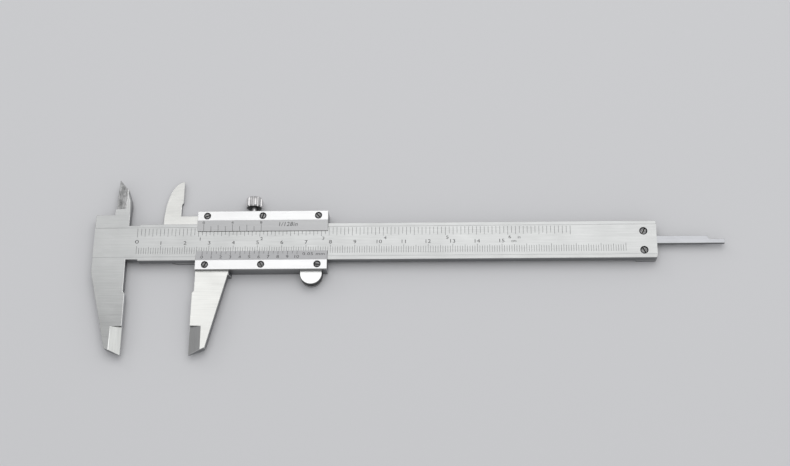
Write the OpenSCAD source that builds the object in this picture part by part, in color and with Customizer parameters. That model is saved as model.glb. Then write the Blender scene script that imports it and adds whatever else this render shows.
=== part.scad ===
// Four-way vernier caliper, 150 mm / 6 in: outside jaws, inside jaws, depth rod and step face.
// +X runs along the beam towards the rod, +Y towards the inside jaws, +Z out of the graduated face.
// Everything is drawn with the main scale's zero at X = 0, the beam's centre line at Y = 0 and its
// front face at Z = 0, and is then set down with its footprint centred on the origin.

/* [Beam] */
// Width of the beam between its two guiding edges
beam_w = 16; // [15:0.5:17]
// Thickness of the beam and of the outside jaws
beam_t = 3.5; // [3.3:0.1:4]
// Length of the beam beyond the fixed measuring face
beam_len = 216; // [212:1:225]
// Distance from each measuring face to the zero line of its scale
zero_offset = 3.4; // [2.8:0.1:4]
// Width of the shallow recess that carries the main scales
scale_w = 13; // [12:0.5:14]
// Depth of that recess
scale_depth = 0.1; // [0.05:0.05:0.2]

/* [Jaws] */
// How far the jaws stand open
opening = 27.5; // [20:0.5:60]
// Reach of the outside jaws below the beam
outside_reach = 40; // [36:1:45]
// Width of an outside jaw at its root
jaw_root_w = 14.6; // [13:0.1:16]
// Width of an outside jaw at its foot
jaw_foot_w = 6.65; // [6:0.05:8]
// Reach of the inside jaws above the beam
inside_reach = 20.6; // [18:0.2:24]
// Distance from the fixed measuring face back to the inside measuring edge
inside_setback = 6.6; // [6:0.1:7]

/* [Slider] */
// Length of the slider
slider_len = 54; // [50:1:60]
// Width of the slider's wall and plate below the beam
lower_wall = 4.5; // [4:0.1:5]
// Width of the slider's wall and plate above the beam
upper_wall = 5; // [4.6:0.1:5.6]
// Thickness of the slider's back
back_t = 1.75; // [1.5:0.05:2.2]
// Thickness of the two vernier plates
plate_t = 1.4; // [1.2:0.1:1.6]
// Width of the bevel that carries a vernier scale
bevel_w = 4.35; // [3.5:0.05:5]

/* [Lock] */
// Diameter of the knurled head of the lock screw
lock_head_d = 7; // [6:0.1:8]
// Length of that head
lock_head_len = 4.6; // [3.6:0.1:6]
// Thread diameter of the lock screw
lock_d = 2; // [2:0.1:2.5]

/* [Depth rod] */
// Width of the depth rod
rod_w = 3.2; // [2.6:0.1:3.6]
// Thickness of the depth rod
rod_t = 1.8; // [1.5:0.1:2]

/* [Hidden] */
$fn = 64;

// Cutters pass this far through what they cut
cut = 1;
// Gap that lets the slider run on the beam's faces
face_gap = 0.05;
// Gap between the slider and the beam's lower guiding edge
guide_gap = 0.03;
// Gap around screws and rivets in their holes
hole_gap = 0.02;
// Gap around screw heads in their counterbores
head_gap = 0.08;

// Beam
edge_y = beam_w / 2;
fixed_x = -zero_offset;
beam_end = fixed_x + beam_len;
end_corner_r = 0.8;
notch_end_x = fixed_x + 4.1;
notch_depth = 0.55;

// Outside jaws, in distances from the measuring face and along Y
jaw_tip_y = -edge_y - outside_reach;
jaw_foot_y = jaw_tip_y + 2.95;
jaw_root_y = -edge_y - 4.8;
jaw_relief = 0.8;
relief_end_y = -edge_y - 13.2;
relief_slope = 0.8;
foot_ridge = 4.7;
knife_len = 12;
knife_depth = 1.2;

// Fixed head and inside jaws
head_x = fixed_x - jaw_root_w;
head_top_y = edge_y + 4.35;
head_chamfer = 0.4;
inside_x = fixed_x - inside_setback;
inside_tip_y = edge_y + inside_reach;
blade_y = edge_y + 7;
blade_root_x = fixed_x - 0.4;
blade_lean = 0.6;
blade_lean_y = inside_tip_y - 9;
blade_bevel_w = 4.5;
blade_bevel_depth = 1.5;
arm_x = head_x + 0.15;
arm_curve_y = edge_y + 2;
arm_round_r = 7;
moving_blade_y = blade_y + 4;
moving_relief = 0.6;
moving_relief_rise = 1;
moving_edge_t = 0.3;

// Slider, at its place when the jaws are closed
slider_x = fixed_x + jaw_relief;
slider_end = slider_x + slider_len;
slider_low_y = -edge_y - lower_wall;
slider_top_y = edge_y + upper_wall;
seat_z = face_gap;
back_front_z = -beam_t - face_gap;
back_z = back_front_z - back_t;
lip_reach = 1.8;
lip_past = 0.6;
lip_depth = 2.2;
lip_rim = 0.3;

// Vernier plates
strip_w = 4;
nose_t = 0.2;
plate_screw_in = 4;
plate_screw_pitch = (slider_len - 2 * plate_screw_in) / 2;
plate_screw_edge = 2.1;
plate_head_d = 2.7;
plate_head_t = 0.75;
plate_head_sink = 0.15;
plate_screw_d = 1.6;
plate_screw_len = 2;
upper_slot_angle = 20;
lower_slot_angle = 65;
slot_angle_step = 55;

// Every screw
slot_w = 0.45;
slot_depth = 0.4;
screw_end_gap = 0.2;

// Gib spring and its pocket
gib_t = 0.5;
gib_w = 2.6;
gib_rise = 0.25;
gib_gap = 0.11;
gib_margin = 2;
pocket_depth = gib_gap + gib_t + gib_rise + 0.4;
pocket_w = gib_w + 0.2;

// Lock screw
lock_x = slider_x + 22.8;
lock_z = -beam_t / 2;
lock_neck = 2.4;
lock_rim = 0.5;
lock_point = 0.25;
lock_tip_gap = 0.02;

// Depth rod, its groove and its foot on the slider's back
groove_w = rod_w + 0.4;
groove_depth = rod_t + 0.2;
groove_start = 8;
rod_back_z = -beam_t + face_gap;
rod_front_z = rod_back_z + rod_t;
rod_y = 0.3;
rod_start = slider_x + 34;
rod_foot_len = 14;
rivet_in = 3;
rod_tip_len = 6;
rod_tip_w = 1.75;
rod_tip_slope = 1.1;
rivet_d = 1.2;
rivet_pitch = 8;
rivet_depth = 1;

// Thumb rest
thumb_x = slider_end - 6.6;
thumb_r = 4.5;
thumb_neck = 1.2;
thumb_front_z = -0.6;
thumb_flutes = 13;
flute_r = 0.22;
tenon_w = 4;
tenon_len = 2;
tenon_t = 1.6;

// End stop
stop_len = 8.6;
stop_screw_in = 5.3;
stop_screw_y = 4.1;
stop_centre_y = -0.6;
stop_slot_angle = 62;
stop_head_d = 3.1;
stop_head_t = 1;
stop_head_sink = 0.35;
stop_screw_d = 2;

// Where the footprint's centre and the resting height are
centre_x = (head_x + beam_end + opening) / 2;
centre_y = (jaw_tip_y + inside_tip_y) / 2;

// Sets a piece of the fixed beam down in the part's frame
module fixed_place() {
    translate([-centre_x, -centre_y, -back_z]) children();
}

// Does the same for a piece of the slider, which is drawn closed and stands open
module sliding_place() {
    fixed_place() translate([opening, 0, 0]) children();
}

// Extrudes a flat outline from one height to another
module slab(low_z, high_z) {
    translate([0, 0, low_z]) linear_extrude(height = high_z - low_z) children();
}

// A block given by its two opposite corners
module block(low, high) {
    translate(low) cube(high - low);
}

// Edge points of an outside jaw from its relief round its foot to its root, as distances from the
// measuring face into the jaw and heights along Y
jaw_points = [
    [jaw_relief, relief_end_y],
    [0, relief_end_y - relief_slope],
    [0, jaw_tip_y],
    [jaw_foot_w, jaw_foot_y],
    [jaw_root_w, jaw_root_y]
];

// What thins the tip of an outside jaw to a narrow measuring edge, on one face
module knife_cut() {
    low_z = -knife_depth * (1 + cut / foot_ridge);
    translate([0, jaw_tip_y + knife_len, 0]) rotate([90, 0, 0])
        linear_extrude(height = knife_len + cut)
            polygon([[-cut, low_z], [foot_ridge, 0], [foot_ridge, cut], [-cut, cut]]);
}

// Both faces of the knife edge
module knife_cuts() {
    knife_cut();
    translate([0, 0, -beam_t]) mirror([0, 0, 1]) knife_cut();
}

// A rounded corner of the beam's end, as points turning from one angle by a quarter turn
function end_corner(side, first) = [for (a = [first : 15 : first + 90])
    [beam_end - end_corner_r + end_corner_r * cos(a),
     side * (edge_y - end_corner_r) + end_corner_r * sin(a)]];

// Curved back of the fixed inside jaw, as distances in from its root and heights above its waist
blade_back_points = [[-0.3, 1.7], [0.05, 4.1], [0.88, 6.6], [1.75, 9]];

// The beam with the fixed head and both fixed jaws, as seen from the front
module beam_outline() {
    polygon(concat(
        [[notch_end_x, -edge_y + notch_depth], [notch_end_x, -edge_y]],
        end_corner(-1, -90),
        end_corner(1, 0),
        [[notch_end_x, edge_y],
         [notch_end_x, edge_y - notch_depth],
         [blade_root_x, edge_y - notch_depth],
         [blade_root_x, head_top_y]],
        [for (p = blade_back_points) [blade_root_x - p.x, blade_y + p.y]],
        [[inside_x + blade_lean, inside_tip_y],
         [inside_x, blade_lean_y],
         [inside_x, head_top_y],
         [head_x + head_chamfer, head_top_y],
         [head_x, head_top_y - head_chamfer]],
        [for (i = [len(jaw_points) - 1 : -1 : 0]) [fixed_x - jaw_points[i].x, jaw_points[i].y]],
        [[fixed_x - jaw_relief, -edge_y + notch_depth]]
    ));
}

// What gives the fixed inside jaw its knife edge, on one face
module blade_cut() {
    depth = blade_bevel_depth * (1 + cut / blade_bevel_w);
    translate([inside_x, blade_y, 0]) rotate([-90, 0, 0]) linear_extrude(height = inside_reach)
        polygon([[-cut, depth], [blade_bevel_w, 0], [blade_bevel_w, -cut], [-cut, -cut]]);
}

// What a cheese-head screw needs below Z = 0: a counterbore and a shank hole
module screw_seat(head_d, head_depth, shank_d, shank_len) {
    translate([0, 0, -head_depth]) cylinder(d = head_d + 2 * head_gap, h = head_depth + cut);
    translate([0, 0, -head_depth - shank_len])
        cylinder(d = shank_d + 2 * hole_gap, h = head_depth + shank_len);
}

// A slotted cheese-head screw, with the underside of its head on Z = 0
module slotted_screw(head_d, head_t, shank_d, shank_len, slot_angle) {
    difference() {
        union() {
            cylinder(d = head_d, h = head_t);
            translate([0, 0, -shank_len]) cylinder(d = shank_d, h = shank_len + head_t / 2);
        }
        translate([0, 0, head_t - slot_depth]) rotate([0, 0, slot_angle])
            translate([-head_d, -slot_w / 2, 0]) cube([2 * head_d, slot_w, slot_depth + cut]);
    }
}

module main_beam() {
    color("gainsboro") fixed_place() difference() {
        slab(-beam_t, 0) beam_outline();
        block([head_x - cut, -scale_w / 2, -scale_depth], [beam_end + cut, scale_w / 2, cut]);
        block([groove_start, rod_y - groove_w / 2, -beam_t - cut],
              [beam_end + cut, rod_y + groove_w / 2, -beam_t + groove_depth]);
        translate([fixed_x, 0, 0]) mirror([1, 0, 0]) knife_cuts();
        blade_cut();
        translate([0, 0, -beam_t]) mirror([0, 0, 1]) blade_cut();
        for (side = [-1, 1])
            translate([beam_end - stop_screw_in, stop_centre_y + side * stop_screw_y, 0])
                screw_seat(stop_head_d, stop_head_t + stop_head_sink, stop_screw_d, beam_t);
    }
}

module end_stop_plate() {
    color("silver") fixed_place() difference() {
        slab(back_z, -beam_t) polygon(concat(
            [[beam_end - stop_len, edge_y], [beam_end - stop_len, -edge_y]],
            end_corner(-1, -90),
            end_corner(1, 0)
        ));
        for (side = [-1, 1])
            translate([beam_end - stop_screw_in, stop_centre_y + side * stop_screw_y, back_z - cut])
                cylinder(d = stop_screw_d + 2 * hole_gap, h = back_t + 2 * cut);
    }
}

module end_stop_screws() {
    head_z = -stop_head_t - stop_head_sink;
    color("dimgray") fixed_place() for (side = [-1, 1])
        translate([beam_end - stop_screw_in, stop_centre_y + side * stop_screw_y, head_z])
            slotted_screw(stop_head_d, stop_head_t, stop_screw_d,
                          head_z - back_z - screw_end_gap, stop_slot_angle * side);
}

// Outline of the slider's back and of the arm and blade of the moving inside jaw
module slider_back_outline() {
    curve_w = inside_x - arm_x;
    curve_h = inside_tip_y - arm_curve_y;
    translate([slider_x, slider_low_y]) square([slider_len, slider_top_y - slider_low_y]);
    polygon(concat(
        [[slider_x + cut, -edge_y]],
        [for (a = [90 : -15 : 0])
            [arm_x + arm_round_r * (1 - cos(a)), arm_round_r * (1 - sin(a)) - edge_y]],
        [for (a = [0 : 7.5 : 90])
            [arm_x + curve_w * (1 - cos(a)), arm_curve_y + curve_h * sin(a)]],
        [[inside_x, moving_blade_y],
         [inside_x - moving_relief, moving_blade_y - moving_relief_rise],
         [inside_x - moving_relief, slider_top_y],
         [slider_x + cut, slider_top_y]]
    ));
}

// What thins the moving inside jaw from behind, to a knife edge on its front face
module moving_blade_cut() {
    depth = (back_t - moving_edge_t) * (1 + cut / blade_bevel_w);
    translate([inside_x, moving_blade_y, back_z]) rotate([-90, 0, 0])
        linear_extrude(height = inside_reach)
            polygon([[cut, -depth], [-blade_bevel_w, 0], [-blade_bevel_w, cut], [cut, cut]]);
}

module slider_body() {
    color("silver") sliding_place() difference() {
        union() {
            slab(back_z, back_front_z) slider_back_outline();
            block([slider_x, slider_low_y, back_z], [slider_end, -edge_y - guide_gap, seat_z]);
            block([slider_x, edge_y + guide_gap, back_z], [slider_end, slider_top_y, seat_z]);
            slab(-beam_t, 0) polygon(concat(
                [[slider_x, slider_low_y + cut]],
                [for (p = jaw_points) [fixed_x + p.x, p.y]],
                [[fixed_x + jaw_root_w, slider_low_y + cut]]
            ));
            jaw_lip();
        }
        translate([fixed_x, 0, 0]) knife_cuts();
        moving_blade_cut();
        plate_screw_holes();
        gib_pocket();
        translate([lock_x, edge_y, lock_z]) rotate([-90, 0, 0])
            cylinder(d = lock_d + 2 * hole_gap, h = upper_wall + cut);
        for (i = [0, 1])
            translate([rod_start + rivet_in + i * rivet_pitch, rod_y, back_z - cut])
                cylinder(d = rivet_d + 2 * hole_gap, h = back_t + 2 * cut);
        thumb_socket();
    }
}

// Wedge behind the root of the moving outside jaw, widest at the slider's back
module jaw_lip() {
    jaw_end = fixed_x + jaw_root_w;
    section = [
        [slider_x, back_z],
        [jaw_end + lip_past, back_z],
        [jaw_end + lip_past, -lip_depth],
        [jaw_end, -lip_rim],
        [slider_x, -lip_rim]
    ];
    translate([0, slider_low_y + cut, 0]) rotate([90, 0, 0])
        linear_extrude(height = lip_reach + cut) polygon(section);
}

// Place along the slider of the plate screw with this number
function plate_screw_x(i) = slider_x + plate_screw_in + i * plate_screw_pitch;

// Blind holes for the six plate screws
module plate_screw_holes() {
    for (i = [0 : 2], y = [slider_low_y + plate_screw_edge, slider_top_y - plate_screw_edge])
        translate([plate_screw_x(i), y, seat_z - plate_screw_len])
            cylinder(d = plate_screw_d + 2 * hole_gap, h = plate_screw_len + cut);
}

// Pocket above the beam's upper edge, in which the gib spring lies
module gib_pocket() {
    block([slider_x + gib_margin - 0.5, edge_y - cut, lock_z - pocket_w / 2],
          [slider_end - gib_margin + 0.5, edge_y + pocket_depth, lock_z + pocket_w / 2]);
}

// Slot in the lower wall for the thumb rest's tenon
module thumb_socket() {
    middle_z = (thumb_front_z + back_z) / 2;
    block([thumb_x - tenon_w / 2 - hole_gap, slider_low_y - cut, middle_z - tenon_t / 2 - hole_gap],
          [thumb_x + tenon_w / 2 + hole_gap, slider_low_y + tenon_len + hole_gap,
           middle_z + tenon_t / 2 + hole_gap]);
}

// A vernier plate drawn for the lower side: its outer edge is on Y = 0 and its bevel points to +Y
module vernier_plate() {
    difference() {
        translate([slider_x, 0, 0]) rotate([90, 0, 90]) linear_extrude(height = slider_len)
            polygon([
                [0, seat_z],
                [strip_w + bevel_w, seat_z],
                [strip_w + bevel_w, seat_z + nose_t],
                [strip_w, seat_z + plate_t],
                [0, seat_z + plate_t]
            ]);
        for (i = [0 : 2])
            translate([plate_screw_x(i), plate_screw_edge, seat_z + plate_t])
                screw_seat(plate_head_d, plate_head_t + plate_head_sink, plate_screw_d, plate_t);
    }
}

module upper_vernier_plate() {
    color("whitesmoke") sliding_place()
        translate([0, slider_top_y, 0]) mirror([0, 1, 0]) vernier_plate();
}

module lower_vernier_plate() {
    color("whitesmoke") sliding_place()
        translate([0, slider_low_y, 0]) vernier_plate();
}

// Three plate screws in a row; each slot stands at its own angle
module plate_screws(y, first_angle) {
    head_z = seat_z + plate_t - plate_head_t - plate_head_sink;
    for (i = [0 : 2])
        translate([plate_screw_x(i), y, head_z])
            slotted_screw(plate_head_d, plate_head_t, plate_screw_d,
                          head_z - seat_z + plate_screw_len - screw_end_gap,
                          first_angle + slot_angle_step * i);
}

module upper_plate_screws() {
    color("dimgray") sliding_place() plate_screws(slider_top_y - plate_screw_edge, upper_slot_angle);
}

module lower_plate_screws() {
    color("dimgray") sliding_place() plate_screws(slider_low_y + plate_screw_edge, lower_slot_angle);
}

// A bowed leaf: its middle lies nearest to the beam, and its ends stand off by gib_rise
module gib_spring() {
    half = slider_len / 2 - gib_margin;
    steps = 12;
    low = edge_y + gib_gap;
    lower_side = [for (i = [-steps : steps]) [half * i / steps, low + gib_rise * pow(i / steps, 2)]];
    upper_side = [for (i = [steps : -1 : -steps])
        [half * i / steps, low + gib_t + gib_rise * pow(i / steps, 2)]];
    color("goldenrod") sliding_place()
        translate([slider_x + slider_len / 2, 0, lock_z - gib_w / 2])
            linear_extrude(height = gib_w) polygon(concat(lower_side, upper_side));
}

module lock_screw() {
    head_start = slider_top_y + lock_neck;
    tip_y = edge_y + gib_gap + gib_t + lock_tip_gap;
    head_r = lock_head_d / 2;
    profile = [
        [0, tip_y],
        [lock_d / 2 - lock_point, tip_y],
        [lock_d / 2, tip_y + lock_point],
        [lock_d / 2, head_start],
        [head_r - lock_rim, head_start],
        [head_r, head_start + lock_rim],
        [head_r, head_start + lock_head_len - lock_rim],
        [head_r - lock_rim, head_start + lock_head_len],
        [0, head_start + lock_head_len]
    ];
    color("lightgray") sliding_place()
        translate([lock_x, 0, lock_z]) rotate([-90, 0, 0]) rotate_extrude() polygon(profile);
}

module depth_rod() {
    low_y = rod_y - rod_w / 2;
    high_y = rod_y + rod_w / 2;
    tip_high_y = low_y + rod_tip_w;
    color("silver") sliding_place() difference() {
        union() {
            slab(rod_back_z, rod_front_z) polygon([
                [rod_start, low_y],
                [beam_end, low_y],
                [beam_end, tip_high_y],
                [beam_end - rod_tip_len, tip_high_y],
                [beam_end - rod_tip_len - rod_tip_slope, high_y],
                [rod_start, high_y]
            ]);
            slab(back_front_z, rod_front_z)
                translate([rod_start, low_y]) square([rod_foot_len, rod_w]);
        }
        for (i = [0, 1])
            translate([rod_start + rivet_in + i * rivet_pitch, rod_y, back_front_z - cut])
                cylinder(d = rivet_d + 2 * hole_gap, h = rivet_depth + hole_gap + cut);
    }
}

module depth_rod_rivets() {
    color("gray") sliding_place() for (i = [0, 1])
        translate([rod_start + rivet_in + i * rivet_pitch, rod_y, back_z])
            cylinder(d = rivet_d, h = back_t + rivet_depth);
}

module thumb_rest() {
    middle_z = (thumb_front_z + back_z) / 2;
    color("gainsboro") sliding_place() translate([thumb_x, slider_low_y, 0]) {
        slab(back_z, thumb_front_z) difference() {
            union() {
                translate([0, -thumb_neck]) circle(r = thumb_r);
                translate([-thumb_r, -thumb_neck]) square([2 * thumb_r, thumb_neck]);
            }
            translate([-thumb_r - cut, 0]) square([2 * thumb_r + 2 * cut, thumb_r + cut]);
            for (i = [0 : thumb_flutes - 1])
                let (a = 180 + 180 * (i + 0.5) / thumb_flutes)
                    translate([thumb_r * cos(a), thumb_r * sin(a) - thumb_neck])
                        circle(r = flute_r);
        }
        block([-tenon_w / 2, -cut / 2, middle_z - tenon_t / 2],
              [tenon_w / 2, tenon_len, middle_z + tenon_t / 2]);
    }
}

main_beam();
end_stop_plate();
end_stop_screws();
slider_body();
upper_vernier_plate();
lower_vernier_plate();
upper_plate_screws();
lower_plate_screws();
gib_spring();
lock_screw();
depth_rod();
depth_rod_rivets();
thumb_rest();
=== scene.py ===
from math import atan2, ceil, cos, pi, radians, sin, tau
from typing import NamedTuple

import bmesh
import bpy
from mathutils import Matrix, Vector


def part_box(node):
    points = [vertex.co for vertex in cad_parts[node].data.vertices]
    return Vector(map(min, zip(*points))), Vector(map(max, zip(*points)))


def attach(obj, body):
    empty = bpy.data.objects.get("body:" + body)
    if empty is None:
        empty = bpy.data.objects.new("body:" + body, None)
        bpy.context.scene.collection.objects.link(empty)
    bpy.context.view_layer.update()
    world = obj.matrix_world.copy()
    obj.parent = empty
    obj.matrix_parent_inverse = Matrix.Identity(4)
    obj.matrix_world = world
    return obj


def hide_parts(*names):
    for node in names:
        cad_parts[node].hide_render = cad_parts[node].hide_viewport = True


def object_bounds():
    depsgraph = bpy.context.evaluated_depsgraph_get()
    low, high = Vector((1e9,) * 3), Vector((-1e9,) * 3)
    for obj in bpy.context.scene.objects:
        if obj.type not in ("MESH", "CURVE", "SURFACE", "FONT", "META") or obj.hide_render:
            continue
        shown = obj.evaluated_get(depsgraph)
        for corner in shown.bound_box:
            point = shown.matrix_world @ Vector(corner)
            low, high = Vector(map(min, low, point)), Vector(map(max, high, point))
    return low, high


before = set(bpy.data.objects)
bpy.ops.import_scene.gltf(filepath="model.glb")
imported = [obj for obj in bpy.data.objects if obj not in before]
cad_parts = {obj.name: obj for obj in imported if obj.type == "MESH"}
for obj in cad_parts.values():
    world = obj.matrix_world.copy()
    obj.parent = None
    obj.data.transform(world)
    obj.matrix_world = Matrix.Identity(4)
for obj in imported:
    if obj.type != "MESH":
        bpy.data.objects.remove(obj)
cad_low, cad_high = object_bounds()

# Pieces are worked in millimetres in the caliper's drawing frame, whose origin is the zero of the
# main scale, on the beam's centre line and front face. piece() sets them down in the frame.
MM = 0.001

# Sizes that the CAD source shares with this script, in millimetres
BEAM_W = 16
BEAM_LEN = 216
ZERO_OFFSET = 3.4
OUTSIDE_REACH = 40
SCALE_W = 13
SCALE_DEPTH = 0.1
OPENING = 27.5
PLATE_T = 1.4
BEVEL_W = 4.35
NOSE_T = 0.2
FACE_GAP = 0.05

beam_low, beam_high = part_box("main_beam")
zero = Vector((beam_high.x - (BEAM_LEN - ZERO_OFFSET) * MM,
               beam_low.y + (BEAM_W / 2 + OUTSIDE_REACH) * MM,
               beam_high.z))
TO_FRAME = Matrix.Translation(zero) @ Matrix.Scale(MM, 4)
TO_DRAWING = TO_FRAME.inverted()


def drawing_box(node):
    """The lowest and highest corner of a CAD node, in the drawing frame."""
    return [TO_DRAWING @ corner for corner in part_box(node)]


# ---------------------------------------------------------------- camera, light and floor

CAMERA_PLACE = (0.0205, -0.1903, 0.5233)
CAMERA_TURN = 7.05  # degrees from straight in front, towards +X
CAMERA_RISE = 68.42  # degrees above the horizon
CAMERA_ROLL = -7.0
CAMERA_LENS = 62.03
SENSOR_WIDTH = 36


def add_camera():
    turn, rise, roll = (radians(a) for a in (CAMERA_TURN, CAMERA_RISE, CAMERA_ROLL))
    back = Vector((sin(turn) * cos(rise), -cos(turn) * cos(rise), sin(rise)))
    level = Vector((cos(turn), sin(turn), 0))
    right = level * cos(roll) + back.cross(level) * sin(roll)
    axes = Matrix((right, back.cross(right), back)).transposed()
    camera = bpy.data.objects.new("camera", bpy.data.cameras.new("camera"))
    camera.data.lens = CAMERA_LENS
    camera.data.sensor_width = SENSOR_WIDTH
    camera.data.clip_start = 0.01
    camera.matrix_world = Matrix.Translation(CAMERA_PLACE) @ axes.to_4x4()
    bpy.context.scene.collection.objects.link(camera)
    bpy.context.scene.camera = camera


def add_softbox(name, place, aim, width, height, power):
    light = bpy.data.lights.new(name, "AREA")
    light.shape = "RECTANGLE"
    light.size = width
    light.size_y = height
    light.energy = power
    lamp = bpy.data.objects.new(name, light)
    away = Vector(place) - Vector(aim)
    lamp.matrix_world = Matrix.Translation(place) @ away.to_track_quat("Z", "Y").to_matrix().to_4x4()
    bpy.context.scene.collection.objects.link(lamp)


def add_studio():
    middle = (cad_low + cad_high) / 2
    add_softbox("overhead", place=(0.13, 0.36, 1.1), aim=middle, width=1.25, height=1.05, power=5.7)
    add_softbox("left_rear", place=(-1.1, 1.1, 0.9), aim=middle, width=0.5, height=0.5, power=1.2)
    world = bpy.data.worlds.new("studio")
    world.use_nodes = True
    background = world.node_tree.nodes["Background"]
    background.inputs["Color"].default_value = (0.97, 0.98, 1, 1)
    background.inputs["Strength"].default_value = 0.55
    bpy.context.scene.world = world
    bpy.context.scene.view_settings.view_transform = "Standard"


def add_floor():
    half_size, gap = 3, 0.02 * MM
    bm = bmesh.new()
    bmesh.ops.create_grid(bm, x_segments=1, y_segments=1, size=half_size)
    mesh = bpy.data.meshes.new("floor")
    bm.to_mesh(mesh)
    bm.free()
    floor = bpy.data.objects.new("floor", mesh)
    floor.location.z = cad_low.z - gap
    bpy.context.scene.collection.objects.link(floor)
    paper = bpy.data.materials.new("pale_paper")
    paper.use_nodes = True
    shader = paper.node_tree.nodes["Principled BSDF"]
    shader.inputs["Base Color"].default_value = (0.68, 0.68, 0.69, 1)
    shader.inputs["Roughness"].default_value = 0.9
    shader.inputs["Specular IOR Level"].default_value = 0.2
    mesh.materials.append(paper)


# ---------------------------------------------------------------- materials
# Every noise has its own shift, which keeps the patterns apart, and sizes in metres.


class Finish:
    """A material whose nodes all read the piece's own coordinates, in metres."""

    def __init__(self, name, metallic=1.0):
        self.material = bpy.data.materials.new(name)
        self.material.use_nodes = True
        self.tree = self.material.node_tree
        self.shader = self.tree.nodes["Principled BSDF"]
        self.shader.inputs["Metallic"].default_value = metallic
        self.place = self.tree.nodes.new("ShaderNodeTexCoord").outputs["Object"]

    def node(self, kind, links=(), **settings):
        made = self.tree.nodes.new("ShaderNode" + kind)
        for name, value in settings.items():
            setattr(made, name, value)
        for socket, value in links:
            if isinstance(value, bpy.types.NodeSocket):
                self.tree.links.new(value, made.inputs[socket])
            else:
                made.inputs[socket].default_value = value
        return made

    def turned(self, angle):
        """The place, with the direction at this angle in the XY plane turned onto X."""
        turn = self.node("VectorRotate", [("Vector", self.place), ("Angle", -radians(angle))],
                         rotation_type="Z_AXIS")
        return turn.outputs["Vector"]

    def noise(self, vector, size, detail=2.0, shift=0.0):
        """Noise from 0 to 1 with features of this size in metres, or of three sizes along X, Y, Z."""
        sizes = (size, size, size) if isinstance(size, float) else size
        mapping = self.node("Mapping", [("Vector", vector), ("Location", (shift, shift, shift)),
                                        ("Scale", tuple(1 / s for s in sizes))])
        cloud = self.node("TexNoise", [("Vector", mapping.outputs["Vector"]), ("Scale", 1.0),
                                       ("Detail", detail)])
        return cloud.outputs["Fac"]

    def math(self, operation, first, second, third=0.0):
        return self.node("Math", [(0, first), (1, second), (2, third)],
                         operation=operation).outputs[0]

    def spread(self, value, low, high, reach=0.2):
        """Maps the middle of a noise's range, 0.5 - reach to 0.5 + reach, onto low to high."""
        made = self.node("MapRange", [("Value", value), ("From Min", 0.5 - reach),
                                      ("From Max", 0.5 + reach), ("To Min", low), ("To Max", high)])
        return made.outputs["Result"]

    def above(self, value, edge, softness=0.03):
        """1 where value is above the edge and 0 where it is below."""
        made = self.node("MapRange", [("Value", value), ("From Min", edge - softness),
                                      ("From Max", edge + softness)])
        return made.outputs["Result"]

    def mix(self, share, first, second):
        made = self.node("Mix", data_type="RGBA")
        for index, value in ((0, share), (6, first), (7, second)):
            if isinstance(value, bpy.types.NodeSocket):
                self.tree.links.new(value, made.inputs[index])
            else:
                made.inputs[index].default_value = value
        return made.outputs[2]

    def set(self, socket, value):
        if isinstance(value, bpy.types.NodeSocket):
            self.tree.links.new(value, self.shader.inputs[socket])
        else:
            self.shader.inputs[socket].default_value = value

    def bump(self, height, depth):
        """Relief of this depth in metres where height goes from 0 to 1."""
        made = self.node("Bump", [("Height", height), ("Distance", depth), ("Strength", 1.0)])
        self.set("Normal", made.outputs["Normal"])


def shade(colour, factor):
    return tuple(min(1.0, c * factor) for c in colour) + (1.0,)


LINE_GRAIN = (0.009, 0.00007, 0.00007)
STREAK_GRAIN = (0.016, 0.00035, 0.00035)
PATCH_SIZE = 0.011
SCRATCH_GRAIN = (0.02, 0.0001, 0.0001)


def ground_steel(name, colour, roughness, *, tone, grain=0, gloss=0.05, relief=2e-6, darkening=None):
    """Steel ground or brushed along one direction: fine lines, broader streaks and faint patches,
    with a few thin scratches from use across them.

    grain is the direction in degrees from X, and tone and gloss say how far the colour and the
    roughness vary. The last argument is (y_start, y_end, share): the steel's colour darkens
    smoothly to that share between the two.
    """
    finish = Finish(name)
    along = finish.turned(grain)
    lines = finish.noise(along, LINE_GRAIN)
    streaks = finish.noise(along, STREAK_GRAIN, shift=7.0)
    patches = finish.noise(finish.place, PATCH_SIZE, 3.0, 3.0)
    brushed = finish.math("MULTIPLY_ADD", lines, 0.55, finish.math("MULTIPLY", streaks, 0.45))
    tones = finish.math("MULTIPLY_ADD", patches, 0.25, finish.math("MULTIPLY", brushed, 0.75))
    share = finish.spread(tones, 0.0, 1.0, 0.13)
    steel = finish.mix(share, shade(colour, 1 - tone), shade(colour, 1 + tone))
    if darkening:
        start, end, left = darkening
        contrast = 1.3 * tone
        y = finish.node("SeparateXYZ", [("Vector", finish.place)]).outputs["Y"]
        reach = finish.node("MapRange", [("Value", y), ("From Min", start), ("From Max", end)])
        darker = finish.mix(share, shade(colour, left - contrast), shade(colour, left + contrast))
        steel = finish.mix(reach.outputs["Result"], steel, darker)
    worn = 0.0
    for angle, shift in ((grain + 27, 11.0), (grain + 71, 14.0), (grain + 148, 17.0)):
        scratch = finish.noise(finish.turned(angle), SCRATCH_GRAIN, 1.0, shift)
        worn = finish.math("MAXIMUM", finish.above(scratch, 0.73, 0.02), worn)
    steel = finish.mix(finish.math("MULTIPLY", worn, 0.4), steel, shade(colour, 1.3))
    finish.set("Base Color", steel)
    finish.set("Roughness", finish.spread(tones, roughness + gloss, roughness - gloss))
    finish.bump(brushed, relief)
    return finish.material


# Direction in degrees, shift and width of the scratches that a stone leaves
STONE_SCRATCHES = ((66, 1.0, 0.00008), (78, 3.0, 0.0005), (84, 5.0, 0.0002), (97, 9.0, 0.00008),
                   (104, 11.0, 0.0006), (113, 13.0, 0.00016))


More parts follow.
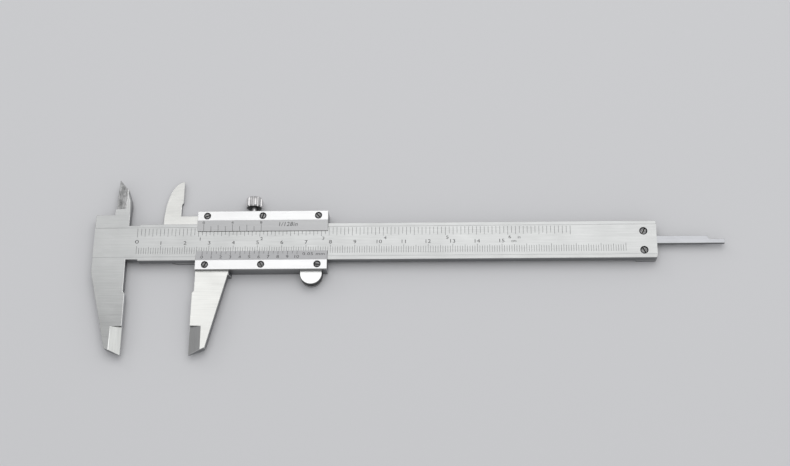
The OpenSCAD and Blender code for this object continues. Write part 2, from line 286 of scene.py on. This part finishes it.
def scratched_steel(name, colour, roughness):
    """A facet dressed by hand on a stone: short scratches in several directions, over a mottle."""
    finish = Finish(name)
    mottle = 2.0
    total = finish.spread(finish.noise(finish.place, 0.0016, 3.0), 0.0, mottle, 0.16)
    for angle, shift, width in STONE_SCRATCHES:
        scratch = finish.noise(finish.turned(angle), (0.006, width, width), 2.0, shift)
        total = finish.math("ADD", total, finish.above(scratch, 0.56, 0.05))
    share = finish.math("DIVIDE", total, (len(STONE_SCRATCHES) + mottle) * 0.65)
    finish.set("Base Color", finish.mix(share, shade(colour, 0.42), shade(colour, 1.85)))
    finish.set("Roughness", finish.math("MULTIPLY_ADD", share, -0.12, roughness + 0.06))
    finish.bump(share, 1.2e-5)
    return finish.material


def filled_line(name, colour):
    """Paint rubbed into the engraved lines, with a few thin places."""
    finish = Finish(name, metallic=0.0)
    worn = finish.noise(finish.place, 0.0006, 3.0)
    finish.set("Base Color", finish.mix(finish.above(worn, 0.62), shade(colour, 1), shade(colour, 3)))
    finish.set("Roughness", finish.spread(worn, 0.5, 0.75))
    return finish.material


def turned_steel(name, colour, roughness, blotch=0.25, gloss=0.08):
    """A lathe-turned, plated or blackened small part: blotches and fine tool marks."""
    finish = Finish(name)
    cloud = finish.noise(finish.place, 0.0007, 4.0)
    marks = finish.noise(finish.place, (0.00009, 0.00009, 0.004), 1.0, 4.0)
    share = finish.spread(cloud, 0.0, 1.0)
    finish.set("Base Color", finish.mix(share, shade(colour, 1 - blotch), shade(colour, 1 + blotch)))
    finish.set("Roughness", finish.spread(cloud, roughness + gloss, roughness - gloss))
    finish.bump(marks, 3e-6)
    return finish.material


# ---------------------------------------------------------------- mesh tools

# Material numbers on every piece. The ink number also carries the painted shade under the lock
# screw's head.
FRONT, INK_AND_SHADE, EDGE, SIDE, FACET, LAPPED, STONED = range(7)
SLOT_COUNT = 7
ALONG_X, ALONG_Y = 0, 1
ROUND_STEPS = 48  # sides of a small turned piece
THREAD_STEPS = 6  # rings in one turn of a thread
RIDGE_ANGLE = radians(10)
EDGE_ANGLE = radians(25)
SMOOTH_ANGLE = radians(20)
ROUNDING_ROOM = 2.2  # widths of a rounding that have to fit on both faces of its edge
WELD = 1e-5
NEAR = 0.01
# Share of a normal along an axis: above the first a face looks straight that way, and between the
# two it is a shallow facet or bevel
STRAIGHT = 0.99
SHALLOW = 0.9


def from_cad(node, flatten=None):
    """A CAD node's mesh in the drawing frame, welded and with its flat faces whole.

    flatten changes the mesh first, where the visual piece starts from a simpler shape.
    """
    bm = bmesh.new()
    bm.from_mesh(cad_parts[node].data)
    bm.transform(TO_DRAWING)
    if flatten:
        flatten(bm)
    bmesh.ops.remove_doubles(bm, verts=bm.verts, dist=0.002)
    bmesh.ops.dissolve_degenerate(bm, edges=bm.edges, dist=0.001)
    bmesh.ops.dissolve_limit(bm, angle_limit=radians(0.3), verts=bm.verts, edges=bm.edges)
    for face in bm.faces:
        face.material_index = SIDE
    return bm


def face_depth(face, edge):
    """How far a face reaches from the line of one of its edges."""
    start = edge.verts[0].co
    along = (edge.verts[1].co - start).normalized()
    return max((v.co - start).cross(along).length for v in face.verts)


def round_edges(bm, width, chosen=None, segments=2, number=EDGE):
    """Rounds the outer corners, or the chosen edges, and numbers the new faces. Edges of faces too
    narrow for it stay as they are."""
    bm.normal_update()
    edges = []
    for edge in bm.edges:
        if len(edge.link_faces) != 2:
            continue
        wanted = chosen(edge) if chosen else edge.calc_face_angle_signed(0) > EDGE_ANGLE
        if wanted and min(face_depth(f, edge) for f in edge.link_faces) > ROUNDING_ROOM * width:
            edges.append(edge)
    made = bmesh.ops.bevel(bm, geom=edges, offset=width, offset_type="OFFSET", segments=segments,
                           profile=0.5, affect="EDGES", clamp_overlap=False)
    for face in made["faces"]:
        face.material_index = number


def is_ridge(edge):
    """The shallow corner where a jaw's thinned facet meets its flat face."""
    return RIDGE_ANGLE < edge.calc_face_angle_signed(0) < EDGE_ANGLE and edge.calc_length() > 5


def is_bare_corner(edge):
    """An outer corner of the slider, other than those under the vernier plates."""
    covered = all(v.co.z > FACE_GAP / 2 for v in edge.verts)
    return not covered and edge.calc_face_angle_signed(0) > EDGE_ANGLE


def is_blade_back(edge):
    """The front corner of the fixed inside jaw's back, which is rounded off broadly."""
    front = all(v.co.z > -NEAR and v.co.y > BEAM_W / 2 for v in edge.verts)
    return front and any(f.normal.x > 0.5 for f in edge.link_faces)


def number_faces(bm, number, test):
    """Gives every face that passes the test, on its normal and centre, this material number."""
    bm.normal_update()
    for face in bm.faces:
        if face.material_index != EDGE and test(face.normal, face.calc_center_median()):
            face.material_index = number


def add_block(bm, low, high, place=None, number=SIDE):
    """A box from its lowest to its highest corner, moved by a matrix."""
    middle = (Vector(low) + Vector(high)) / 2
    size = Vector(high) - Vector(low)
    matrix = Matrix.Translation(middle) @ Matrix.Diagonal((*size, 1))
    made = bmesh.ops.create_cube(bm, size=1, matrix=(place or Matrix()) @ matrix)
    for face in {f for v in made["verts"] for f in v.link_faces}:
        face.material_index = number


def add_cap(bm, loop, number):
    bm.faces.new(loop).material_index = number


def add_band(bm, lower, upper, number):
    """The faces between two closed loops of equally many vertices."""
    for i in range(len(lower)):
        k = (i + 1) % len(lower)
        bm.faces.new((lower[i], lower[k], upper[k], upper[i])).material_index = number


def prism(bm, outline, low, high, number, place=None):
    """A straight bar along X whose section is this outline in Y and Z, turning anticlockwise."""
    place = place or Matrix()
    start, end = ([bm.verts.new(place @ Vector((x, y, z))) for y, z in outline] for x in (low, high))
    add_cap(bm, start[::-1], number)
    add_cap(bm, end, number)
    add_band(bm, start, end, number)


def turned_solid(rings, around, shape=None):
    """A solid turned about Z from rings of (radius, height, number of the faces above it).

    shape(radius, height, angle) gives the true radius where the surface isn't round.
    """
    bm = bmesh.new()
    loops = []
    for radius, height, _ in rings:
        loop = []
        for i in range(around):
            angle = tau * i / around
            r = shape(radius, height, angle) if shape else radius
            loop.append(bm.verts.new((r * cos(angle), r * sin(angle), height)))
        loops.append(loop)
    numbers = [number for _, _, number in rings]
    for lower, upper, number in zip(loops, loops[1:], numbers):
        add_band(bm, lower, upper, number)
    add_cap(bm, loops[0][::-1], numbers[0])
    add_cap(bm, loops[-1], numbers[-1])
    return bm


def thread_rings(radius, low, high, pitch, number):
    """Rings close enough together to carry a thread of this pitch."""
    steps = ceil((high - low) / pitch * THREAD_STEPS)
    return [(radius, low + (high - low) * i / steps, number) for i in range(steps + 1)]


def thread_shape(low, high, pitch, depth):
    """A screw thread between two heights, which runs out over one turn at each end."""
    def shape(radius, height, angle):
        fade = max(0.0, min(1.0, (height - low) / pitch, (high - height) / pitch))
        wave = abs((height / pitch - angle / tau) % 1 * 2 - 1)
        return radius - depth * fade * wave
    return shape


def temporary(bm):
    """An object in the scene that holds this mesh, for one boolean."""
    mesh = bpy.data.meshes.new("temporary")
    bm.to_mesh(mesh)
    bm.free()
    for _ in range(SLOT_COUNT):
        mesh.materials.append(None)
    obj = bpy.data.objects.new("temporary", mesh)
    bpy.context.scene.collection.objects.link(obj)
    return obj


def evaluated(obj):
    """The object's mesh with its modifiers applied, as a bmesh; the object is removed."""
    bpy.context.view_layer.update()
    made = obj.evaluated_get(bpy.context.evaluated_depsgraph_get()).to_mesh()
    bm = bmesh.new()
    bm.from_mesh(made)
    bpy.data.objects.remove(obj)
    return bm


def combine(bm, tool, operation="DIFFERENCE"):
    """bm cut by or joined to the tool; the faces that the tool makes keep its material numbers."""
    target, other = temporary(bm), temporary(tool)
    modifier = target.modifiers.new("boolean", "BOOLEAN")
    modifier.operation = operation
    modifier.solver = "EXACT"
    modifier.object = other
    result = evaluated(target)
    bpy.data.objects.remove(other)
    return result


def mark_material_borders(mesh):
    """Keeps the line crisp wherever two finishes meet."""
    numbers = {}
    for polygon in mesh.polygons:
        for key in polygon.edge_keys:
            numbers.setdefault(key, set()).add(polygon.material_index)
    for edge in mesh.edges:
        if len(numbers[edge.key]) > 1:
            edge.use_edge_sharp = True


def weigh_normals(obj):
    """Lets the large faces lead at their corners, so that they shade flat beside rounded edges."""
    modifier = obj.modifiers.new("normals", "WEIGHTED_NORMAL")
    modifier.mode = "FACE_AREA"
    modifier.weight = 100
    modifier.keep_sharp = True
    graph = bpy.context.evaluated_depsgraph_get()
    graph.update()
    weighed = bpy.data.meshes.new_from_object(obj.evaluated_get(graph), preserve_all_data_layers=True,
                                              depsgraph=graph)
    obj.modifiers.clear()
    obj.data = weighed
    weighed.name = obj.name


def piece(name, bm, body, nodes, finishes):
    """Sets a finished mesh down in the frame as a piece of the object."""
    bmesh.ops.remove_doubles(bm, verts=bm.verts, dist=WELD)
    bm.transform(TO_FRAME)
    mesh = bpy.data.meshes.new(name)
    bm.to_mesh(mesh)
    bm.free()
    mesh.polygons.foreach_set("use_smooth", [True] * len(mesh.polygons))
    mesh.set_sharp_from_angle(angle=SMOOTH_ANGLE)
    mark_material_borders(mesh)
    for number in range(SLOT_COUNT):
        mesh.materials.append(finishes.get(number, finishes[FRONT]))
    obj = bpy.data.objects.new(name, mesh)
    bpy.context.scene.collection.objects.link(obj)
    weigh_normals(obj)
    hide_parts(*nodes)
    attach(obj, body)


# ---------------------------------------------------------------- engraving

LINE_W = 0.14
LINE_DEPTH = 0.05
CAP_SHARE = 0.72  # height of a capital or a digit, as a share of the font's size


def add_tick(bm, plane, u, low, high):
    """A straight line of the engraving, from one height to another on its plane."""
    over = 0.5
    add_block(bm, (u - LINE_W / 2, low, -LINE_DEPTH), (u + LINE_W / 2, high, over), plane, INK_AND_SHADE)


def add_label(bm, plane, text, u, v, height, slant=0.0, stretch=1.0, spacing=1.0):
    """Figures or letters of the engraving, centred on a point of its plane."""
    curve = bpy.data.curves.new("label", "FONT")
    curve.body = text
    curve.size = height / CAP_SHARE
    curve.shear = slant
    curve.space_character = spacing
    curve.resolution_u = 3
    curve.extrude = 0.25
    label = bpy.data.objects.new("label", curve)
    bpy.context.scene.collection.objects.link(label)
    letters = evaluated(label)
    bmesh.ops.remove_doubles(letters, verts=letters.verts, dist=0.001)
    ends = [(min(c), max(c)) for c in zip(*(vert.co[:2] for vert in letters.verts))]
    middle = [(low + high) / 2 for low, high in ends]
    letters.transform(plane @ Matrix.Translation((u, v, curve.extrude - LINE_DEPTH))
                      @ Matrix.Diagonal((stretch, 1, 1, 1))
                      @ Matrix.Translation((-middle[0], -middle[1], 0)))
    for face in letters.faces:
        face.material_index = INK_AND_SHADE
    mesh = bpy.data.meshes.new("label")
    letters.to_mesh(mesh)
    letters.free()
    bm.from_mesh(mesh)


def longest(i, ends, shortest):
    """The end of a scale's line i: that of the first (every, end) whose every divides i."""
    return next((end for every, end in ends if i % every == 0), shortest)


INCH = 25.4
MM_TICKS = 200
MM_BASE = -5.1
MM_ENDS = ((10, -1.6), (5, -1.95))
MM_SHORTEST = -2.35
LAST_CM_FIGURE = 15
INCH_STEPS = 16
INCHES = 7
INCH_BASE = 6.05
INCH_ENDS = ((16, 2.3), (8, 2.45), (2, 2.6))
INCH_SHORTEST = 3.1
INCH_FIGURE_ASIDE = 0.8


def main_scale():
    """The two scales of the beam: centimetres below and inches above."""
    bm = bmesh.new()
    plane = Matrix.Translation((0, 0, -SCALE_DEPTH))
    for i in range(MM_TICKS + 1):
        add_tick(bm, plane, i, MM_BASE, longest(i, MM_ENDS, MM_SHORTEST))
    for i in range(INCHES * INCH_STEPS + 1):
        add_tick(bm, plane, i * INCH / INCH_STEPS, longest(i, INCH_ENDS, INCH_SHORTEST), INCH_BASE)
    add_label(bm, plane, "0", u=0, v=0.35, height=1.65, stretch=1.5)
    for i in range(1, LAST_CM_FIGURE + 1):
        add_label(bm, plane, str(i), u=10 * i, v=-0.3, height=1.6, stretch=1.25)
    add_label(bm, plane, "cm", u=154.8, v=-0.55, height=1.3)
    for i in range(1, INCHES):
        u = INCH * i + INCH_FIGURE_ASIDE
        add_label(bm, plane, str(i), u, v=1.35, height=1.4, stretch=1.25)
    add_label(bm, plane, "in", u=157, v=1.2, height=1.3)
    return bm


UPPER_DIVISIONS = 8
UPPER_SPAN = INCH * 15 / 16
UPPER_ENDS = ((4, 2.75), (2, 2.5))
UPPER_SHORTEST = 2.0
LOWER_DIVISIONS = 20
LOWER_SPAN = 39
LOWER_ENDS = ((2, -1.9),)
LOWER_SHORTEST = -1.35
PAST_FOOT = 0.3  # how far the lines run out over the foot of the bevel


def upper_scale(plane):
    """The inch vernier, read from the plate's foot upwards."""
    bm = bmesh.new()
    for i in range(UPPER_DIVISIONS + 1):
        u = OPENING + i * UPPER_SPAN / UPPER_DIVISIONS
        add_tick(bm, plane, u, -PAST_FOOT, longest(i, UPPER_ENDS, UPPER_SHORTEST))
        if i % 4 == 0:
            add_label(bm, plane, str(i), u, v=3.5, height=1.15, stretch=1.25)
    add_label(bm, plane, "1/128in", u=62.5, v=2.75, height=1.75, slant=0.2, spacing=1.12)
    return bm


def lower_scale(plane):
    """The millimetre vernier, read from the plate's foot downwards."""
    bm = bmesh.new()
    for i in range(LOWER_DIVISIONS + 1):
        u = OPENING + i * LOWER_SPAN / LOWER_DIVISIONS
        add_tick(bm, plane, u, longest(i, LOWER_ENDS, LOWER_SHORTEST), PAST_FOOT)
        if i % 2 == 0:
            add_label(bm, plane, str(i // 2), u, v=-2.95, height=1.5, stretch=1.15)
    add_label(bm, plane, "0.05 mm", u=73.3, v=-1.6, height=1.45, stretch=1.2, spacing=1.1)
    return bm


# ---------------------------------------------------------------- pieces

ink = filled_line("line_ink", (0.045, 0.045, 0.045))
# Rounded edges get a brighter, glossier steel: wear, and a painted highlight along them
worn_edge_and_highlight = ground_steel("worn_edge_and_highlight", (0.62, 0.62, 0.61), 0.25, tone=0.08)
measuring_face = ground_steel("measuring_face", (0.42, 0.43, 0.44), 0.16, tone=0.03, relief=5e-7)

# The fixed outside jaw's steel darkens towards its tip, and the moving inside jaw's is a little
# darker than the rest of the slider
JAW_DARKENING = (zero.y - 3 * MM, zero.y - 40 * MM, 0.68)
BLADE_DARKENING = (zero.y + 7 * MM, zero.y + 14 * MM, 0.9)

# The SIDE finishes of the beam, slider, plates and rod are painted darker than their FRONT finishes:
# painted shade on the side faces, which turn away from the light
beam_finishes = {
    FRONT: ground_steel("beam_satin", (0.46, 0.465, 0.46), 0.4, tone=0.07, darkening=JAW_DARKENING),
    INK_AND_SHADE: ink,
    EDGE: worn_edge_and_highlight,
    SIDE: ground_steel("beam_side_painted_shade", (0.22, 0.225, 0.23), 0.33, tone=0.1),
    FACET: ground_steel("beam_facet", (0.36, 0.365, 0.355), 0.3, grain=90, tone=0.1),
    LAPPED: measuring_face,
    STONED: scratched_steel("stoned_facet", (0.42, 0.42, 0.415), 0.36),
}
slider_finishes = {
    FRONT: ground_steel("slider_ground", (0.58, 0.58, 0.56), 0.36, tone=0.07, darkening=BLADE_DARKENING),
    EDGE: worn_edge_and_highlight,
    SIDE: ground_steel("slider_side_painted_shade", (0.25, 0.255, 0.26), 0.34, tone=0.12),
    FACET: ground_steel("slider_facet", (0.39, 0.39, 0.385), 0.33, grain=90, tone=0.12),
    LAPPED: measuring_face,
}
plate_finishes = {
    FRONT: ground_steel("plate_chrome", (0.57, 0.57, 0.57), 0.3, tone=0.03, gloss=0.03),
    INK_AND_SHADE: ink,
    EDGE: worn_edge_and_highlight,
    SIDE: ground_steel("plate_side_painted_shade", (0.36, 0.36, 0.36), 0.35, tone=0.1),
    FACET: ground_steel("plate_bevel", (0.5, 0.5, 0.505), 0.42, tone=0.04),
}
# Painted light: the upper plate's bevel is painted lighter than the lower plate's, for the light that
# falls differently on the two bevels
upper_plate_finishes = {
    **plate_finishes,
    FACET: ground_steel("upper_plate_bevel_painted_light", (0.57, 0.57, 0.57), 0.42, tone=0.04),
}
screw_finishes = {
    FRONT: turned_steel("screw_oxide", (0.05, 0.05, 0.055), 0.35),
    # Painted highlight: the screw's flat top is painted lighter than its oxide
    SIDE: turned_steel("screw_top_painted_light", (0.15, 0.15, 0.15), 0.3, blotch=0.5),
    # Bright worn steel on the slot's flares, which is wear and also a painted glint
    EDGE: turned_steel("screw_worn_and_glint", (0.6, 0.59, 0.57), 0.25),
    INK_AND_SHADE: turned_steel("screw_slot", (0.03, 0.03, 0.03), 0.5),
}
knob_finishes = {
    FRONT: turned_steel("knob_chrome", (0.58, 0.57, 0.57), 0.38, blotch=0.03, gloss=0.02),
    # Painted shade under the head
    INK_AND_SHADE: turned_steel("knob_underside_painted_shade", (0.14, 0.14, 0.14), 0.45),
    SIDE: turned_steel("knob_thread", (0.4, 0.39, 0.38), 0.35, blotch=0.12),
}
rod_finishes = {
    FRONT: ground_steel("rod_ground", (0.36, 0.365, 0.38), 0.33, tone=0.08),
    EDGE: worn_edge_and_highlight,
    # Painted shade: the rod's side faces are painted darker than its top
    SIDE: ground_steel("rod_side_painted_shade", (0.19, 0.195, 0.2), 0.33, tone=0.1),
}
gib_finishes = {
    FRONT: ground_steel("gib_bronze", (0.72, 0.44, 0.2), 0.3, tone=0.08),
}
thumb_finishes = {
    FRONT: ground_steel("thumb_face", (0.68, 0.68, 0.67), 0.3, tone=0.02),
    EDGE: worn_edge_and_highlight,
    # Painted shade on the knurled rim
    SIDE: turned_steel("thumb_knurl_painted_shade", (0.08, 0.08, 0.08), 0.4),
}


def fill_recess(bm):
    """Lifts the floor of the scale's recess back to the front face."""
    for vert in bm.verts:
        if abs(vert.co.z + SCALE_DEPTH) < NEAR:
            vert.co.z = 0


def recess():
    """What the recess of the main scales takes away, with a fine relief line along its lower side."""
    line_w, line_depth = 0.15, 0.03
    half = SCALE_W / 2
    outline = [(-half, 1), (-half, -SCALE_DEPTH - line_depth),
               (line_w - half, -SCALE_DEPTH - line_depth), (line_w - half, -SCALE_DEPTH),
               (half, -SCALE_DEPTH), (half, 1)]
    bm = bmesh.new()
    prism(bm, outline, -BEAM_LEN, 2 * BEAM_LEN, SIDE)
    # The walls of the step and of the relief line keep the SIDE number, whose dark finish paints the
    # shade in the step and the groove
    number_faces(bm, FRONT, lambda n, c: n.z < -STRAIGHT and c.y > line_w - half)
    return bm


CORNER_ROUNDING = 0.15


def add_beam():
    blade_rounding = 0.85
    bm = from_cad("main_beam", fill_recess)
    number_faces(bm, FRONT, lambda n, c: abs(n.z) > STRAIGHT)
    number_faces(bm, FACET, lambda n, c: SHALLOW < abs(n.z) < STRAIGHT and c.y < 0)
    number_faces(bm, STONED, lambda n, c: SHALLOW < abs(n.z) < STRAIGHT and c.y > 0)
    number_faces(bm, LAPPED, lambda n, c: n.x > STRAIGHT and c.y < -BEAM_W and c.x < 0)
    round_edges(bm, blade_rounding, is_blade_back, segments=5, number=FRONT)
    round_edges(bm, CORNER_ROUNDING)
    # The ridges take the bright edge finish, which paints the highlight along each ridge
    round_edges(bm, CORNER_ROUNDING, is_ridge)
    bm = combine(bm, recess())
    bm = combine(bm, main_scale())
    piece("beam_and_fixed_jaws", bm, "beam", ["main_beam"], beam_finishes)


def add_slider():
    ridge_rounding = 0.2
    bm = from_cad("slider_body")
    round_edges(bm, CORNER_ROUNDING, is_bare_corner)
    round_edges(bm, ridge_rounding, is_ridge, number=FACET)
    number_faces(bm, FRONT, lambda n, c: abs(n.z) > STRAIGHT)
    number_faces(bm, FACET, lambda n, c: SHALLOW < abs(n.z) < STRAIGHT)
    number_faces(bm, LAPPED, lambda n, c: n.x < -STRAIGHT and c.y < -BEAM_W)
    number_faces(bm, LAPPED, lambda n, c: n.x > STRAIGHT and c.y > BEAM_W)
    piece("slider_and_moving_jaws", bm, "slider", ["slider_body"], slider_finishes)


def add_plate(side, engraving, finishes):
    """One vernier plate: side is 1 above the beam and -1 below it."""
    plate_rounding = 0.12
    node = "upper_vernier_plate" if side > 0 else "lower_vernier_plate"
    bm = from_cad(node)
    round_edges(bm, plate_rounding)
    number_faces(bm, FRONT, lambda n, c: n.z > STRAIGHT)
    number_faces(bm, FACET, lambda n, c: SHALLOW < n.z < STRAIGHT)
    low, high = drawing_box(node)
    foot = low.y if side > 0 else high.y
    slope = atan2(PLATE_T - NOSE_T, BEVEL_W) * side
    plane = Matrix.Translation((0, foot, low.z + NOSE_T)) @ Matrix.Rotation(slope, 4, "X")
    bm = combine(bm, engraving(plane))
    name = "upper_scale_plate" if side > 0 else "lower_scale_plate"
    piece(name, bm, "slider", [node], finishes)


class ScrewSize(NamedTuple):
    head_d: float
    head_t: float
    shank_d: float
    pitch: float


END_STOP_SCREW = ScrewSize(head_d=3.1, head_t=1.0, shank_d=2.0, pitch=0.4)
PLATE_SCREW = ScrewSize(head_d=2.7, head_t=0.75, shank_d=1.6, pitch=0.35)


def screw(size, shank_len, slot_angle):
    """A slotted cheese-head screw with the underside of its head on Z = 0."""
    rim, point, head_gap, thread_depth = 0.06, 0.15, 0.05, 0.12
    slot_w, slot_depth, flare = 0.45, 0.4, 0.09
    # Points of the dome, as distances in from the head's rim and down from its top
    dome = ((0, 0.26), (0.048, 0.156), (0.18, 0.052), (0.4, 0))
    radius, shank_r, head_t = size.head_d / 2, size.shank_d / 2, size.head_t
    rings = [(shank_r - point, -shank_len, FRONT)]
    rings += thread_rings(shank_r, point - shank_len, -head_gap, size.pitch, FRONT)
    rings += [(radius - rim, 0, FRONT), (radius, rim, FRONT)]
    # The rim and dome keep the dark oxide and the flat top gets the lighter SIDE finish: a painted
    # highlight on the top, which leaves a painted dark ring of shade round the head
    rings += [(radius - inset, head_t - drop, FRONT if drop else SIDE) for inset, drop in dome]
    thread = thread_shape(-shank_len, 0, size.pitch, thread_depth)
    bm = turned_solid(rings, ROUND_STEPS, lambda r, z, a: thread(r, z, a) if z < 0 else r)
    half = slot_w / 2
    outline = [(-half, -slot_depth), (half, -slot_depth), (half, -flare), (half + flare, 0),
               (half + flare, 1), (-half - flare, 1), (-half - flare, 0), (-half, -flare)]
    tool = bmesh.new()
    turn = Matrix.Translation((0, 0, head_t)) @ Matrix.Rotation(radians(slot_angle), 4, "Z")
    prism(tool, outline, -size.head_d, size.head_d, INK_AND_SHADE, turn)
    # The slot's flares get bright worn steel, which also paints the glints along the slot
    number_faces(tool, EDGE, lambda n, c: -0.95 < n.z < -0.3)
    return combine(bm, tool)


def spaced(node, count, axis, size):
    """Centres of equal pieces that share one CAD node, in a row along ALONG_X or ALONG_Y."""
    low, high = drawing_box(node)
    middle = (low + high) / 2
    places = []
    for i in range(count):
        place = middle.copy()
        place[axis] = low[axis] + size / 2 + i * (high[axis] - low[axis] - size) / (count - 1)
        places.append(place)
    return places


def add_screws(node, body, axis, size, slot_angles):
    low, high = drawing_box(node)
    places = spaced(node, len(slot_angles), axis, size.head_d)
    for i, (place, angle) in enumerate(zip(places, slot_angles), 1):
        bm = screw(size, high.z - low.z - size.head_t, angle)
        bm.transform(Matrix.Translation((place.x, place.y, high.z - size.head_t)))
        piece(f"{node[:-1]}_{i}", bm, body, [node], screw_finishes)


def add_lock_screw():
    """The knurled thumbscrew: twelve flutes round its domed head and a fine thread on its shank."""
    low, high = drawing_box("lock_screw")
    head_len, shank_r, point, pitch, thread_depth = 4.6, 1.0, 0.25, 0.4, 0.16
    neck_r, neck_len, neck_step = 0.95, 2.2, 0.1
    flutes, flute_depth, flute_w, flute_steps = 12, 0.5, 0.3, 16
    # Points of the head's profile, as distances in from its rim and along from its underside, or
    # down from its domed end
    underside = ((0.75, 0), (0.4, 0.1), (0, 0.55))
    dome = ((0, 1.3), (0.12, 0.8), (0.35, 0.4), (0.7, 0.12), (1.15, 0), (1.25, 0), (1.35, 0.06))
    # Radius and depth of the centre mark in the head's end
    centre_mark = ((0.55, 0.1), (0.45, 0.3), (0.05, 0.55))
    radius = (high.x - low.x) / 2
    length = high.y - low.y
    head = length - head_len
    thread_end = head - neck_len
    rings = [(shank_r - point, 0, SIDE)]
    rings += thread_rings(shank_r, point, thread_end, pitch, SIDE)
    # The underside of the head gets the knob's darkest finish: painted shade under the head
    rings += [(neck_r, thread_end + neck_step, FRONT), (neck_r, head, INK_AND_SHADE)]
    rings += [(radius - inset, head + rise, FRONT if rise else INK_AND_SHADE) for inset, rise in underside]
    rings += [(radius - inset, length - drop, FRONT) for inset, drop in dome]
    rings += [(mark_r, length - drop, FRONT) for mark_r, drop in centre_mark]
    thread = thread_shape(0, thread_end, pitch, thread_depth)

    def shape(r, z, angle):
        if z <= thread_end:
            return thread(r, z, angle)
        from_groove = 0.5 - abs(angle * flutes / tau % 1 - 0.5)
        groove = max(0.0, 1 - (from_groove / flute_w) ** 2)
        return min(r, radius - flute_depth * groove)

    bm = turned_solid(rings, flutes * flute_steps, shape)
    bm.transform(Matrix.Translation(((low.x + high.x) / 2, low.y, (low.z + high.z) / 2))
                 @ Matrix.Rotation(-pi / 2, 4, "X"))
    piece("lock_thumbscrew", bm, "lock", ["lock_screw"], knob_finishes)


def add_thumb_grip():
    """The half-round grip, with a straight knurl on its rim between two smooth lips."""
    low, high = drawing_box("thumb_rest")
    radius = (high.x - low.x) / 2
    neck, rim, lip, run_out = 1.2, 0.3, 0.7, 0.15
    tenon_w, tenon_t, tenon_len, tenon_root = 4, 1.6, 2, 0.5
    grooves, groove_depth, groove_steps = 22, 0.22, 6
    root_y = high.y - tenon_len
    # Height, distance in from the rim, and 1 where the knurl has its full depth
    levels = [(low.z, rim, 0), (low.z + rim, 0, 0), (low.z + lip, 0, 0),
              (low.z + lip + run_out, 0, 1), (high.z - lip - run_out, 0, 1), (high.z - lip, 0, 0),
              (high.z - rim * 0.6, 0, 0), (high.z - rim * 0.2, rim * 0.2, 0), (high.z, rim * 0.6, 0)]
    steps = grooves * groove_steps
    bm = bmesh.new()
    loops = []
    for z, inset, cut in levels:
        points = [(inset - radius, root_y)]
        for i in range(steps + 1):
            angle = pi + pi * i / steps
            wave = abs(i / groove_steps % 1 - 0.5) * 2
            r = radius - inset - cut * groove_depth * (1 - wave)
            points.append((r * cos(angle), root_y - neck + r * sin(angle)))
        points.append((radius - inset, root_y))
        loops.append([bm.verts.new((x, y, z)) for x, y in points])
    add_cap(bm, loops[0][::-1], FRONT)
    add_cap(bm, loops[-1], FRONT)
    # The knurled rim takes the SIDE number, whose near-black finish paints the shade on the rim
    for lower, upper in zip(loops, loops[1:]):
        add_band(bm, lower, upper, SIDE)
    tenon = bmesh.new()
    middle = (low.z + high.z) / 2
    add_block(tenon, (-tenon_w / 2, root_y - tenon_root, middle - tenon_t / 2),
              (tenon_w / 2, high.y, middle + tenon_t / 2))
    bm = combine(bm, tenon, "UNION")
    number_faces(bm, EDGE, lambda n, c: 0.3 < n.z < 0.95)
    bm.transform(Matrix.Translation(((low.x + high.x) / 2, 0, 0)))
    piece("thumb_grip", bm, "slider", ["thumb_rest"], thumb_finishes)


def add_plain(name, node, body, finishes, rounding):
    """A piece whose CAD shape only needs its edges broken and a finish."""
    bm = from_cad(node)
    number_faces(bm, FRONT, lambda n, c: abs(n.z) > 0.5)
    round_edges(bm, rounding)
    piece(name, bm, body, [node], finishes)


def add_rivets():
    low, high = drawing_box("depth_rod_rivets")
    radius = (high.y - low.y) / 2
    rim = 0.12
    rings = [(radius - rim, 0, FRONT), (radius, rim, FRONT), (radius, high.z - low.z - rim, FRONT),
             (radius - rim, high.z - low.z, FRONT)]
    for i, place in enumerate(spaced("depth_rod_rivets", 2, ALONG_X, 2 * radius), 1):
        bm = turned_solid(rings, ROUND_STEPS)
        bm.transform(Matrix.Translation((place.x, place.y, low.z)))
        piece(f"depth_rod_rivet_{i}", bm, "slider", ["depth_rod_rivets"], rod_finishes)


add_camera()
add_studio()
add_floor()
add_beam()
add_plain("end_stop", "end_stop_plate", "beam", rod_finishes, rounding=0.2)
add_screws("end_stop_screws", "beam", ALONG_Y, END_STOP_SCREW, slot_angles=(-62, 62))
add_slider()
add_plate(1, upper_scale, upper_plate_finishes)
add_plate(-1, lower_scale, plate_finishes)
add_screws("upper_plate_screws", "slider", ALONG_X, PLATE_SCREW, slot_angles=(20, 75, 130))
add_screws("lower_plate_screws", "slider", ALONG_X, PLATE_SCREW, slot_angles=(65, 120, 175))
add_plain("gib_leaf", "gib_spring", "gib", gib_finishes, rounding=0.08)
add_lock_screw()
add_plain("depth_blade", "depth_rod", "slider", rod_finishes, rounding=0.12)
add_rivets()
add_thumb_grip()
